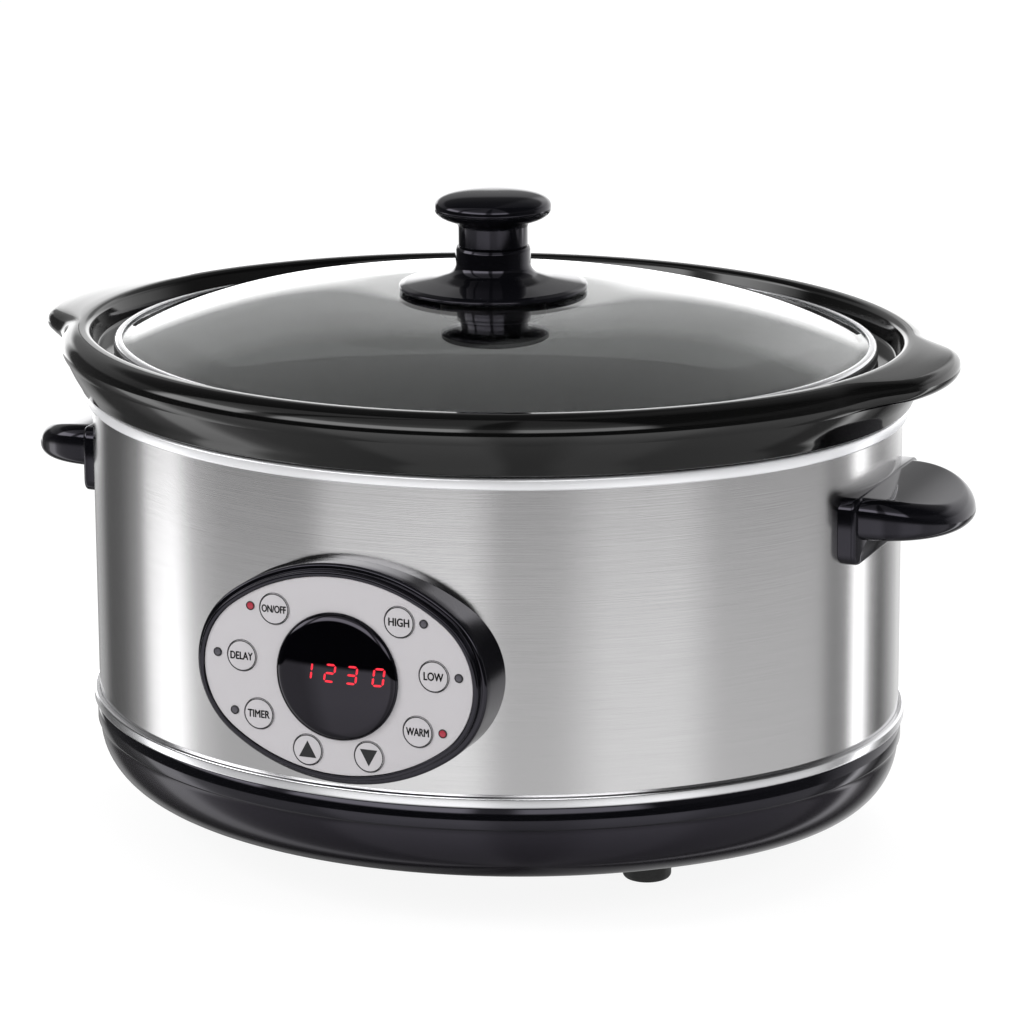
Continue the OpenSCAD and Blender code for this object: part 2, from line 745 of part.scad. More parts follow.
module crock() {
    color([0.08, 0.08, 0.08]) difference() {
        union() {
            oval_solid(body_oval, crock_outside());
            wings();
        }
        oval_solid(body_oval, crock_inside());
    }
}

// ---------- lid ----------

// The dome's slope from offset d0 and height z0 up to its flat top
function dome(z0, d0) = [for (i = [0:7]) let (t = i / 7)
    [d0 - (dome_w + d0) * t, z0 + dome_h * (1 - (1 - t) * (1 - t))]];

module lid_glass() {
    edge = -lid_lip - 0.6;
    color([0.8, 0.85, 0.85, 0.35]) difference() {
        oval_solid(lid_oval, concat([[-lip_t, glass_z0], [-lip_t, glass_z0 + glass_t]], dome(glass_z0 + glass_t, edge)));
        oval_solid(lid_oval, concat([[edge - 1, glass_z0 - step]], dome(glass_z0, edge - 1)));
        peg(bolt_r + 1, glass_z0, plateau_z + cut);
    }
}

module lid_ring() {
    color([0.85, 0.85, 0.86]) difference() {
        oval_solid(lid_oval, [[-0.8, lid_z0], [0, lid_z0 + 0.8], [0, lid_z0 + lid_ring_h - 0.8],
            [-0.8, lid_z0 + lid_ring_h]]);
        oval_plate(lid_oval, -lip_t, glass_z0, glass_z0 + glass_t + 0.3);
        oval_plate(lid_oval, -lid_lip, lid_z0 - cut, lid_z0 + lid_ring_h + cut);
    }
}

collar_rise = 4;
collar_h = 10.6;
knob_well = 12;
knob_screw_head = 2.4;
skirt_z = plateau_z;
stem_z = skirt_z + skirt_t + collar_rise;
seam_z = stem_z + collar_h;
head_z = stem_z + stem_h;

module knob_skirt() {
    edge = skirt_t / 2;
    color([0.03, 0.03, 0.04]) difference() {
        rotate_extrude() polygon(concat([[0, skirt_z]],
            arc(skirt_r - edge, skirt_z + edge, edge, -90, 70, 6),
            [[stem_r + 9, skirt_z + skirt_t + collar_rise / 2], [stem_r + 3, stem_z],
             [stem_r + step * 5, stem_z + 2], [stem_r + step * 5, seam_z], [0, seam_z]]));
        peg(bolt_r + screw_gap, skirt_z - cut, seam_z + cut);
    }
}

// The head's half section, fuller than an ellipse
function head_side(half) = [for (i = [-10:12]) let (s = sin(90 * i / 12), full = 2.4)
    [head_r * pow(1 - pow(abs(s), full), 1 / full), half * s]];

module knob_head() {
    half = head_h / 2;
    color([0.03, 0.03, 0.04]) difference() {
        rotate_extrude() polygon(concat([[0, seam_z], [stem_r, seam_z], [stem_r, head_z + 1]],
            [for (p = head_side(half)) if (p[0] > stem_r || p[1] > 0) [p[0], head_z + half + p[1]]]));
        peg(bolt_r + screw_gap, seam_z - cut, seam_z + knob_well);
    }
}

module knob_washer() {
    z1 = plateau_z - glass_t;
    color([0.03, 0.03, 0.04]) difference() {
        rotate_extrude() polygon([[0, z1 - knob_washer_t], [knob_washer_r - 2, z1 - knob_washer_t],
            [knob_washer_r, z1 - knob_washer_t + 2], [knob_washer_r, z1], [0, z1]]);
        peg(bolt_r + screw_gap, z1 - knob_washer_t - cut, z1 + cut);
        peg(2 * bolt_r + screw_gap, z1 - knob_washer_t - cut, z1 - knob_washer_t + knob_screw_head);
    }
}

module knob_screw() {
    z0 = plateau_z - glass_t - knob_washer_t;
    color([0.7, 0.7, 0.72]) {
        peg(bolt_r, z0 + knob_screw_head, seam_z + knob_well - 1);
        peg(2 * bolt_r, z0, z0 + knob_screw_head);
    }
}

outer_shell();
top_trim_ring();
bottom_trim_ring();
base_pan();
bottom_plate();
rubber_feet();
foot_screws();
heating_well();
heating_band();
insulation_wrap();
tie_stud();
tie_nut();
temperature_sensor();
thermal_fuse();
left_handle();
right_handle();
handle_screws();
control_pod();
pod_retainer();
fascia_plate();
display_lens();
display_module();
indicator_lamps();
control_board();
tact_switches();
board_screws();
power_board();
power_parts();
power_spacers();
cord_gland();
gland_nut();
power_button();
delay_button();
timer_button();
up_button();
down_button();
warm_button();
low_button();
high_button();
crock();
lid_glass();
lid_ring();
knob_head();
knob_skirt();
knob_washer();
knob_screw();
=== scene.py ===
"""Oval slow cooker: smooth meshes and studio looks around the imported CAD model.

Sizes are in millimetres and in the CAD's frame: X to the right, Y to the back, Z up, table at Z = 0.
"""
import math

import bmesh
import bpy
from mathutils import Matrix, Vector


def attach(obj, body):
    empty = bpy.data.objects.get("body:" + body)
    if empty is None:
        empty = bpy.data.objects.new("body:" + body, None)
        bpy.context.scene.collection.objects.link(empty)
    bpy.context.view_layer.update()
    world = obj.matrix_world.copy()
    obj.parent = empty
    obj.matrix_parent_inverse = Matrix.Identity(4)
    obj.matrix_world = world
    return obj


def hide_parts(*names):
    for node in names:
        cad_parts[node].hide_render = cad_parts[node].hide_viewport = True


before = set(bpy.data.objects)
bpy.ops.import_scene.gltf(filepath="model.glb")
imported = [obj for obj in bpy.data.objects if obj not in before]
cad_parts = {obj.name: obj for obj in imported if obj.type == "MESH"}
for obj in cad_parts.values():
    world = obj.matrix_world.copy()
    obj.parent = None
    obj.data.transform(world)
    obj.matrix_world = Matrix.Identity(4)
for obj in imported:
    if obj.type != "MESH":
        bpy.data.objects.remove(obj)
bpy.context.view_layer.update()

MM = 0.001

# ---------- driving sizes, as in the CAD ----------

WALL_A, WALL_B = 165, 144
LID_A, LID_B = 154.4, 139.4
POD_A, POD_B = 59.5, 43
OPENING_A, OPENING_B = 80, 59
WALL_T = 0.8
FOOT_H, FOOT_R, FOOT_X, FOOT_Y = 17.6, 9.6, 83.6, 47.4
DISH_TOP = FOOT_H + 24.8
DISH_IN = 26
BAND_TOP = DISH_TOP + 9.2
BASE_T = 2.6
BEAD_H, BEAD_OUT, WEB_T, WEB_W = 4.6, 2.2, 1, 9
WALL_TOP = BAND_TOP + BEAD_H + 119
TRIM_TOP = WALL_TOP + BEAD_H
FLANGE_TOP = TRIM_TOP - WEB_T
WELL_OUT, WELL_T, WELL_FLOOR = -12, 0.8, 59
WELL_IN = WELL_OUT - WELL_T
CROCK_OUT = WELL_IN - 1.6
CROCK_IN = CROCK_OUT - 7
CROCK_FLOOR = 8
REST_Z = TRIM_TOP + 0.3
RIM_TOP = TRIM_TOP + 25.4
RIM_OUT = 11.6
CROWN_R, CROWN_IN, TAB_R = 7.2, 4.6, 4.4
SEAT_Z = RIM_TOP - 9.8
CROCK_Z0 = WELL_FLOOR + WELL_T + 2.4
MOUTH, LEDGE_IN = -2.2, -15
WING_OUT, WING_W, WING_T = 14, 22, 9
LID_Z0 = SEAT_Z + 0.3
LID_RING_H, LID_LIP, LIP_T = 6, 3.4, 1
GLASS_Z0, GLASS_T = LID_Z0 + LIP_T, 4
DOME_H, DOME_W = 20, 104
PLATEAU_Z = GLASS_Z0 + GLASS_T + DOME_H
SKIRT_R, SKIRT_T, STEM_R = 37.6, 3, 14
STEM_Z = PLATEAU_Z + SKIRT_T + 4
SEAM_Z = STEM_Z + 10.6
HEAD_Z, HEAD_H, HEAD_R = STEM_Z + 19.6, 13.8, 23.4
SCREW_HOLE = 2.1
WASHER_R, WASHER_T = 21, 8
HANDLE_Z, PLATE_W, PLATE_H, PLATE_T, PLATE_R = 145, 40, 26.4, 6, 5
GRIP_OUT, GRIP_ROOT, GRIP_DROOP, GRIP_T = 34, 37, 7, 15.4
GLAND_Y, GLAND_Z, GLAND_BOSS_R = 140, FOOT_H + 22, 11
POD_Z, POD_Y = 102.6, 155.4
RIM_W, LIP_H = 4.5, 0.6
FRONT = POD_Y - LIP_H
LENS_R, LENS_H = 24.4, 3.8
LENS_TOP = LENS_H - 0.06
LENS_SHOULDER, LENS_ROLL, LENS_FALL = 3.2, 1.15, 2.2
BUTTON_R, CAP_PROUD = 6, 0.4
LAMP_R, LAMP_CASE_T = 1.45, 0.3
PRINT_LIFT, INK_LIFT = 0.02, 0.03
END_STEPS, SIDE_STEPS, DOME_STEPS = 36, 64, 28


def oval(a, b):
    """Four tangent arcs on 3-4-5 triangles: end radius, end centre, side centre, side radius, angle of the join."""
    k = (a - b) / 2
    return a - 4 * k, 4 * k, 3 * k, a + k, math.atan2(3, 4)


def round_oval(a, b):
    """The same with rounder ends."""
    k = (a - b) / 2
    return a - 3 * k, 3 * k, 4 * k, a + 2 * k, math.atan2(4, 3)


BODY, LID = oval(WALL_A, WALL_B), oval(LID_A, LID_B)
POD, OPENING = round_oval(POD_A, POD_B), oval(OPENING_A, OPENING_B)


def oval_loop(o, d=0.0):
    """Points round an oval at offset d, anticlockwise from its lower right join."""
    end_r, end_c, side_c, side_r, join = o
    arcs = [
        (end_c, 0, end_r, -join, join, END_STEPS),
        (0, -side_c, side_r, join, math.pi - join, SIDE_STEPS),
        (-end_c, 0, end_r, math.pi - join, math.pi + join, END_STEPS),
        (0, side_c, side_r, math.pi + join, 2 * math.pi - join, SIDE_STEPS),
    ]
    points = []
    for cx, cy, r, t0, t1, n in arcs:
        for i in range(n):
            t = t0 + (t1 - t0) * i / n
            points.append((cx + (r + d) * math.cos(t), cy + (r + d) * math.sin(t)))
    return points


# ---------- mesh builders ----------


def fillet(points, radius, steps=6, closed=False):
    """A 2-D outline with its corners rounded. radius is one number or one per point."""
    n = len(points)
    radii = radius if isinstance(radius, (list, tuple)) else [radius] * n
    out = []
    for i, p in enumerate(points):
        if radii[i] == 0 or (not closed and i in (0, n - 1)):
            out.append(tuple(p))
            continue
        p = Vector(p)
        a, b = Vector(points[i - 1]) - p, Vector(points[(i + 1) % n]) - p
        half = a.angle(b) / 2
        if half > math.radians(89):
            out.append(tuple(p))
            continue
        reach = min(radii[i] / math.tan(half), 0.49 * a.length, 0.49 * b.length)
        r = reach * math.tan(half)
        centre = p + (a.normalized() + b.normalized()).normalized() * (r / math.sin(half))
        start, end = p + a.normalized() * reach - centre, p + b.normalized() * reach - centre
        t0 = math.atan2(start.y, start.x)
        turn = (math.atan2(end.y, end.x) - t0 + math.pi) % (2 * math.pi) - math.pi
        for k in range(steps + 1):
            t = t0 + turn * k / steps
            out.append((centre.x + r * math.cos(t), centre.y + r * math.sin(t)))
    return out


def make_mesh(name, verts, faces, material, sharp=38):
    """A smooth object from points in millimetres, with edges over the angle sharp kept crisp."""
    mesh = bpy.data.meshes.new(name)
    mesh.from_pydata([tuple(c * MM for c in v) for v in verts], [], faces)
    mesh.update()
    bm_fix(mesh)
    for poly in mesh.polygons:
        poly.use_smooth = True
    mesh.set_sharp_from_angle(angle=math.radians(sharp))
    mesh.materials.append(material)
    obj = bpy.data.objects.new(name, mesh)
    bpy.context.scene.collection.objects.link(obj)
    return obj


def bm_fix(mesh):
    """Joins doubled points and turns the faces outwards."""
    bm = bmesh.new()
    bm.from_mesh(mesh)
    bmesh.ops.remove_doubles(bm, verts=bm.verts, dist=1e-7)
    bmesh.ops.recalc_face_normals(bm, faces=bm.faces)
    bm.to_mesh(mesh)
    bm.free()


def skin(name, rings, material, closed=False, caps=(True, True), sharp=38):
    """A surface through rings of 3-D points, each with the same count."""
    n = len(rings[0])
    verts = [p for ring in rings for p in ring]
    faces = []
    count = len(rings)
    for i in range(count if closed else count - 1):
        a, b = i * n, ((i + 1) % count) * n
        for k in range(n):
            m = (k + 1) % n
            faces.append((a + k, a + m, b + m, b + k))
    if not closed:
        if caps[0]:
            faces.append(tuple(range(n))[::-1])
        if caps[1]:
            faces.append(tuple((count - 1) * n + k for k in range(n)))
    return make_mesh(name, verts, faces, material, sharp)


def oval_skin(name, o, profile, material, **options):
    """A ring swept round an oval, with profile as [(offset, height), ...]."""
    rings = [[(x, y, z) for x, y in oval_loop(o, d)] for d, z in profile]
    return skin(name, rings, material, **options)


def lathe(name, profile, material, centre=(0, 0, 0), axis="z", steps=96, **options):
    """A turned shape, with profile as [(radius, height), ...]."""
    rings = []
    for r, z in profile:
        ring = []
        for i in range(steps):
            t = 2 * math.pi * i / steps
            x, y = max(r, 0.001) * math.cos(t), max(r, 0.001) * math.sin(t)
            if axis == "z":
                ring.append((centre[0] + x, centre[1] + y, centre[2] + z))
            else:
                ring.append((centre[0] + x, centre[1] - z, centre[2] + y))
        rings.append(ring)
    return skin(name, rings, material, **options)


def on_pod(x, y, out):
    """A point of the pod, from its own right, up and outward sizes."""
    return x, -out, POD_Z + y


# ---------- materials ----------


def principled(name, colour, roughness, metallic=0.0, **sockets):
    """A plain shader. Each further option is a socket's name with underscores, and its value."""
    material = bpy.data.materials.new(name)
    material.use_nodes = True
    shader = material.node_tree.nodes["Principled BSDF"]
    shader.inputs["Base Color"].default_value = (*colour, 1)
    shader.inputs["Roughness"].default_value = roughness
    shader.inputs["Metallic"].default_value = metallic
    for key, value in sockets.items():
        shader.inputs[key.replace("_", " ")].default_value = value
    return material


def brushed(name, colour, roughness, scale, depth, tone):
    """Metal with fine streaks along the table, so noise changes fast with height only."""
    material = principled(name, colour, roughness, 1.0)
    tree = material.node_tree
    nodes, links = tree.nodes, tree.links
    shader = nodes["Principled BSDF"]
    coords = nodes.new("ShaderNodeTexCoord")
    mapping = nodes.new("ShaderNodeMapping")
    mapping.inputs["Scale"].default_value = scale
    noise = nodes.new("ShaderNodeTexNoise")
    noise.inputs["Scale"].default_value = 1.0
    noise.inputs["Detail"].default_value = 3.0
    links.new(coords.outputs["Object"], mapping.inputs["Vector"])
    links.new(mapping.outputs["Vector"], noise.inputs["Vector"])
    bump = nodes.new("ShaderNodeBump")
    bump.inputs["Strength"].default_value = depth
    bump.inputs["Distance"].default_value = 0.0002
    links.new(noise.outputs["Fac"], bump.inputs["Height"])
    links.new(bump.outputs["Normal"], shader.inputs["Normal"])
    ramp = nodes.new("ShaderNodeMapRange")
    ramp.inputs["From Min"].default_value = 0.3
    ramp.inputs["From Max"].default_value = 0.7
    ramp.inputs["To Min"].default_value = roughness - tone
    ramp.inputs["To Max"].default_value = roughness + tone
    links.new(noise.outputs["Fac"], ramp.inputs["Value"])
    links.new(ramp.outputs["Result"], shader.inputs["Roughness"])
    return material


BLACK = (0.003, 0.003, 0.004)
SILVER = (0.57, 0.55, 0.57)
COOL_SHINE = (0.88, 0.84, 1.0, 1)
STEEL = brushed("brushed_shell", (0.62, 0.615, 0.62), 0.16, (24, 24, 5200), 0.05, 0.02)
POLISHED = principled("polished_trim", (0.86, 0.86, 0.88), 0.2, 1.0)
# A whiter, half-diffuse copy of the polished trim for the top bead: a painted highlight, as if the bead were lit
# from above.
LIT_TRIM = principled("trim_painted_highlight", (0.96, 0.96, 0.98), 0.24, 0.45)
GLOSS = principled("gloss_black", BLACK, 0.07, Specular_Tint=COOL_SHINE)
# The dish's gloss black, rougher than the band's. Its weaker reflection is painted shade, standing in for the
# shadowed floor that the underside mirrors.
SHADED_DISH = principled("gloss_dish_painted_shade", (0.004, 0.003, 0.005), 0.14, Specular_IOR_Level=0.4, Specular_Tint=COOL_SHINE)
GLAZE = principled("glazed_stoneware", (0.003, 0.003, 0.003), 0.07, Specular_IOR_Level=0.65)
GLASS = principled("lid_glass", (0.97, 0.99, 0.985), 0.0, Transmission_Weight=1.0, IOR=1.48)
FASCIA = principled("fascia_silver", SILVER, 0.5)
CAP = principled("button_silver", SILVER, 0.5)
PLAIN_STEEL = principled("plain_steel", (0.55, 0.55, 0.55), 0.35, 1.0)
ZINC = principled("zinc_steel", (0.6, 0.6, 0.62), 0.3, 1.0)
ALUMINIUM = principled("well_aluminium", (0.72, 0.72, 0.73), 0.38, 1.0)
RUBBER = principled("feet_rubber", (0.015, 0.015, 0.015), 0.55)
MICA = principled("heater_mica", (0.5, 0.45, 0.35), 0.7)
FELT = principled("glass_fibre", (0.82, 0.79, 0.70), 0.95)
INNER = principled("inner_black", (0.02, 0.02, 0.02), 0.4)
BOARD = principled("board_green", (0.02, 0.12, 0.05), 0.45)
WINDOW = principled("display_window", (0.0005, 0.0005, 0.001), 0.02, Specular_Tint=(0.9, 0.84, 1.0, 1))
INK = principled("print_black", (0.012, 0.012, 0.014), 0.5)
LAMP_OFF = principled("lamp_dark", (0.09, 0.085, 0.10), 0.3)
LAMP_CASE = principled("lamp_case", (0.01, 0.01, 0.012), 0.3)


def glowing(name, colour, strength):
    """Plastic with a light behind it."""
    return principled(name, colour, 0.3, Emission_Color=(*colour, 1), Emission_Strength=strength)


LAMP_ON = glowing("lamp_red", (0.34, 0.03, 0.05), 0.2)
DIGITS = glowing("digit_red", (0.75, 0.012, 0.03), 0.85)


def piece(obj, body, slot, *nodes):
    """Puts a piece on its body and hides the CAD nodes that it stands for. The slot is not used."""
    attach(obj, body)
    if nodes:
        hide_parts(*nodes)
    return obj


# ---------- body ----------


def outer_wall():
    z0, z1 = BAND_TOP + WEB_T, FLANGE_TOP - 0.1
    profile = [(-WALL_T, z0), (0, z0), (0, z1), (-WALL_T, z1)]
    piece(oval_skin("steel_wall", BODY, profile, STEEL, closed=True), "base", "brushed_shell", "outer_shell")


def bead(z0, inner):
    """The bright bead's outline, a flat-backed half round that carries on into inner."""
    out = [(BEAD_OUT - 1.9, z0), (BEAD_OUT, z0), (BEAD_OUT, z0 + BEAD_H), (BEAD_OUT - 2.2, z0 + BEAD_H)]
    return fillet(out, [0, 1.6, 1.7, 0], 8) + inner


def trims():
    top = bead(WALL_TOP, [(-WEB_W, TRIM_TOP), (-WEB_W, FLANGE_TOP), (0.1, FLANGE_TOP), (0.1, WALL_TOP)])
    # The top bead takes the lighter copy of the trim, a painted highlight; the bottom bead keeps the polished trim.
    piece(oval_skin("top_bead", BODY, top, LIT_TRIM, closed=True), "base", "polished_trim", "top_trim_ring")
    z1 = BAND_TOP + WEB_T
    low = bead(BAND_TOP, [(0.1, BAND_TOP + BEAD_H), (0.1, z1), (-1.7, z1), (-1.7, BAND_TOP)])
    piece(oval_skin("bottom_bead", BODY, low, POLISHED, closed=True), "base", "polished_trim", "bottom_trim_ring")


def dish_curve(d, z0, steps=20):
    """The base's rounded side, from its floor at z0 out to the offset d at the dish's top."""
    curve = []
    for i in range(steps + 1):
        t = math.pi / 2 * i / steps
        curve.append((d - DISH_IN * (1 - math.sin(t) ** 0.8), z0 + (DISH_TOP - z0) * (1 - math.cos(t))))
    return curve


def base():
    under = [(x, y, FOOT_H) for x, y in oval_loop(OPENING)]
    inside = [(x, y, FOOT_H + BASE_T) for x, y in oval_loop(OPENING)]
    outer = dish_curve(0, FOOT_H)[:-1]
    outer += [(0, DISH_TOP - 0.3), (0.15, DISH_TOP), (0.75, DISH_TOP + 0.25), (1, DISH_TOP + 0.8)]
    outer += [(1, BAND_TOP - 0.5), (0.5, BAND_TOP), (-3, BAND_TOP), (-3, BAND_TOP + 7), (-5.4, BAND_TOP + 7)]
    outer += [(-5.4, BAND_TOP), (1 - BASE_T, BAND_TOP - BASE_T), (1 - BASE_T, DISH_TOP + 0.6)]
    outer += dish_curve(-BASE_T, FOOT_H + BASE_T, 8)[::-1]
    rings = [under] + [[(x, y, z) for x, y in oval_loop(BODY, d)] for d, z in outer] + [inside]
    pan = skin("base_moulding", rings, SHADED_DISH, closed=True, sharp=50)
    # Faces below the dish's top take the dimmer copy, a painted shade on the underside; the band above keeps the
    # plain gloss black.
    pan.data.materials.append(GLOSS)
    for poly in pan.data.polygons:
        if poly.center.z > DISH_TOP * MM + 0.0001:
            poly.material_index = 1
    piece(pan, "base", "gloss_black", "base_pan")
    r, proud, edge = GLAND_BOSS_R, 5.2, 0.6
    profile = [(r, -3), (r, proud - edge), (r - edge, proud), (0, proud)]
    boss = lathe("gland_boss", profile, GLOSS, (0, GLAND_Y, GLAND_Z), "y", 48)
    boss.data.transform(mirror_y(GLAND_Y))
    piece(boss, "base", "gloss_black")


def mirror_y(y):
    """Turns a shape that points to the front round to the back, about the plane at y."""
    flip = Matrix.Scale(-1, 4, Vector((0, 1, 0)))
    return Matrix.Translation((0, 2 * y * MM, 0)) @ flip


def feet():
    profile = fillet([(0, 0), (FOOT_R, 0), (FOOT_R, FOOT_H + 0.2), (0, FOOT_H + 0.2)], [0, 2, 0, 0])
    first = True
    for sx in (-1, 1):
        for sy in (-1, 1):
            place = (sx * FOOT_X, sy * FOOT_Y, 0)
            foot = lathe(f"foot_{'r' if sx > 0 else 'l'}{'b' if sy > 0 else 'f'}", profile, RUBBER, place, steps=48)
            piece(foot, "base", "feet_rubber", *(["rubber_feet"] if first else []))
            first = False


def well():
    f, flange, edge = WELL_FLOOR, FLANGE_TOP - WELL_T, -WALL_T - 0.1
    outside = [(WELL_OUT - 8, f), (WELL_OUT, f), (WELL_OUT, flange), (edge, flange)]
    inside = [(edge, FLANGE_TOP), (WELL_IN, FLANGE_TOP), (WELL_IN, f + WELL_T), (WELL_IN - 8, f + WELL_T)]
    profile = fillet(outside + inside, [0, 7, 1, 0, 0, 1.5, 7, 0], 8)
    piece(oval_skin("heating_well_sheet", BODY, profile, ALUMINIUM), "base", "well_aluminium", "heating_well")


# ---------- handles ----------


def rounded_box_ring(w, h, r, steps):
    """A rounded rectangle of half sizes w and h, as 2-D points."""
    r = max(min(r, w - 0.01, h - 0.01), 0.01)
    points = []
    for sx, sy, t0 in ((1, 1, 0), (-1, 1, 90), (-1, -1, 180), (1, -1, 270)):
        for i in range(steps + 1):
            t = math.radians(t0 + 90 * i / steps)
            points.append((sx * (w - r) + r * math.cos(t), sy * (h - r) + r * math.sin(t)))
    return points


def grip_top(x):
    """Height of the grip's top over the handle's middle, which falls towards the nose."""
    return PLATE_H / 2 - 0.4 - GRIP_DROOP * (max(x - WALL_A, 0) / GRIP_OUT) ** 2


def grip_ring(side, inset, height):
    """The grip's outline at an inset: out of the plate, then half a full ellipse. height is a function of x."""
    root, x0, steps = WALL_A - 5, WALL_A - 2, 64
    along, across = GRIP_OUT + 2 - inset, GRIP_ROOT - inset
    plan = [(root, -across * 0.998)]
    for i in range(steps + 1):
        t = math.pi * (i / steps - 0.5)
        plan.append((x0 + along * math.cos(t) ** 0.86, across * math.copysign(abs(math.sin(t)) ** 0.92, t)))
    plan += [(root, across * 0.998)]
    return [(side * x, y, HANDLE_Z + height(x)) for x, y in plan]


def handle(side):
    """One side handle, with side 1 for the right: a plate on the wall and a solid grip."""
    name = "right" if side > 0 else "left"
    end_r, end_c = BODY[0], BODY[1]
    half_h = PLATE_H / 2
    rings = []
    edge = 1.6
    insets = [(0, 0.1), (0, PLATE_T - edge)]
    insets += [(edge * (1 - math.cos(math.radians(a))), PLATE_T - edge * (1 - math.sin(math.radians(a))))
               for a in (15, 30, 45, 60, 75, 90)]
    insets += [(i, PLATE_T) for i in (4, 7, 10, half_h - 0.05)]
    for inset, depth in insets:
        ring = []
        for y, z in rounded_box_ring(PLATE_W - inset, half_h - inset, PLATE_R - inset, 8):
            x = end_c + math.sqrt((end_r + depth) ** 2 - y * y)
            ring.append((side * x, y, HANDLE_Z + z))
        rings.append(ring)
    plate = skin(f"{name}_handle_plate", rings, GLOSS, sharp=60)
    piece(plate, "base", "gloss_black", f"{name}_handle")
    low = half_h - 1.4 - GRIP_T
    low_r, top_r, low_steps, top_steps = 4.0, 5.4, 8, 12
    rings = [grip_ring(side, inset, lambda x: low) for inset in (30, 20, 10)]
    for i in range(low_steps + 1):
        t = math.pi / 2 * i / low_steps
        rise = low_r * (1 - math.cos(t))
        rings.append(grip_ring(side, low_r * (1 - math.sin(t)), lambda x: low + rise))
    for i in range(top_steps + 1):
        t = math.pi / 2 * i / top_steps
        drop = top_r * (1 - math.sin(t))
        rings.append(grip_ring(side, top_r * (1 - math.cos(t)), lambda x: grip_top(x) - drop))
    rings += [grip_ring(side, inset, grip_top) for inset in (7, 10, 15, 20, 25, 30, 34, 36.5)]
    piece(skin(f"{name}_handle_grip", rings, GLOSS, sharp=60), "base", "gloss_black")


# ---------- control pod ----------

# Each button's name, place on the pod, label, and the label's width and height. The two arrows have no label.
BUTTONS = [
    ("power", -25.6, 23.8, "ON/OFF", 10.2, 3.0), ("delay", -39.4, 4.2, "DELAY", 9.4, 3.1),
    ("timer", -32.7, -18, "TIMER", 9.2, 3.1), ("up", -12.6, -30, "", 0, 0), ("down", 12.6, -30, "", 0, 0),
    ("warm", 32.7, -18, "WARM", 9.4, 3.2), ("low", 39.4, 4.2, "LOW", 8.1, 3.3),
    ("high", 25.6, 23.8, "HIGH", 8.6, 3.3),
]
# Each lamp's place on the pod, and whether it is lit
LAMPS = [(-35.5, 24.1, True), (35.5, 24.1, False), (-49.5, 4.6, False), (49.5, 4.6, False),
         (-42.8, -17.6, False), (42.8, -17.6, True)]


def wall_front(x):
    """How far the steel wall's front stands from the middle of the oval at x."""
    return math.sqrt(BODY[3] ** 2 - x * x) - BODY[2]


def pod():
    """The housing's skin: out from the wall, over the stepped rim and back inside it."""
    y0, step, inner = POD_Y, POD_Y - 3.2, -RIM_W + 0.3
    outline = [(0, y0 - 8), (0, step), (-2.25, step), (-2.25, y0), (inner, y0), (inner, FRONT - 1.5)]
    profile = fillet(outline, [0, 1.2, 0.35, 0.7, 0.35, 0], 6)
    rings = [[on_pod(x, y, wall_front(x) + 0.05) for x, y in oval_loop(POD, 0)]]
    rings += [[on_pod(x, y, out) for x, y in oval_loop(POD, d)] for d, out in profile]
    rings += [[on_pod(x, y, wall_front(x) + 0.05) for x, y in oval_loop(POD, inner)]]
    piece(skin("pod_bezel", rings, GLOSS, closed=True), "base", "gloss_black", "control_pod")


def ring_print(name, r0, r1, x, y, out):
    """A thin printed circle."""
    steps = 64
    turns = [2 * math.pi * i / steps for i in range(steps)]
    circles = [[on_pod(x + r * math.cos(t), y + r * math.sin(t), out) for t in turns] for r in (r0, r1)]
    return skin(name, circles, INK, caps=(False, False))


def word(name, text, tall, wide, x, y, out):
    """Plain lettering as a flat mesh of the given height and width, repeated with small shifts to make it bold."""
    curve = bpy.data.curves.new(name, "FONT")
    curve.body = text
    curve.size = 1
    obj = bpy.data.objects.new(name, curve)
    bpy.context.scene.collection.objects.link(obj)
    bpy.context.view_layer.update()
    flat = bpy.data.meshes.new_from_object(obj.evaluated_get(bpy.context.evaluated_depsgraph_get()))
    points = [v.co.copy() for v in flat.vertices]
    polygons = [tuple(poly.vertices) for poly in flat.polygons]
    bpy.data.objects.remove(obj)
    low_x, high_x = min(p.x for p in points), max(p.x for p in points)
    low_y, high_y = min(p.y for p in points), max(p.y for p in points)
    bold = 0.13
    verts, faces = [], []
    for shift_x, shift_y in ((-bold, 0), (bold, 0), (0, bold * 0.8), (0, -bold * 0.8)):
        start = len(verts)
        for p in points:
            px = (p.x - (low_x + high_x) / 2) * (wide - 2 * bold) / (high_x - low_x) + shift_x
            py = (p.y - (low_y + high_y) / 2) * (tall - 1.6 * bold) / (high_y - low_y) + shift_y
            verts.append(on_pod(x + px, y + py, out))
        faces += [tuple(start + k for k in poly) for poly in polygons]
    mesh = bpy.data.meshes.new(name)
    mesh.from_pydata([tuple(c * MM for c in v) for v in verts], [], faces)
    mesh.materials.append(INK)
    made = bpy.data.objects.new(name, mesh)
    bpy.context.scene.collection.objects.link(made)
    return made


def buttons():
    face, back = FRONT + CAP_PROUD, FRONT - 1.2
    profile = fillet([(0, back), (BUTTON_R, back), (BUTTON_R, face), (0, face)], [0, 0, 0.25, 0], 4)
    for name, x, y, label, wide, tall in BUTTONS:
        body = f"{name}_key"
        place = on_pod(x, y, 0)
        cap = lathe(f"{name}_cap", profile, CAP, place, "y", 64)
        piece(cap, body, "button_silver", f"{name}_button")
        circle = ring_print(f"{name}_ring", BUTTON_R - 0.42, BUTTON_R - 0.02, x, y, face + PRINT_LIFT)
        piece(circle, body, "gloss_black")
        if label:
            mark = word(f"{name}_label_0", label, tall, wide, x, y, face + INK_LIFT)
        else:
            turn = 1 if name == "up" else -1
            corners = [(-3.6, -2.9), (3.6, -2.9), (0, 3.7)]
            verts = [on_pod(x + cx, y + turn * cy, face + INK_LIFT) for cx, cy in corners]
            mark = make_mesh(f"{name}_arrow", verts, [(0, 1, 2)], INK)
        piece(mark, body, "gloss_black")


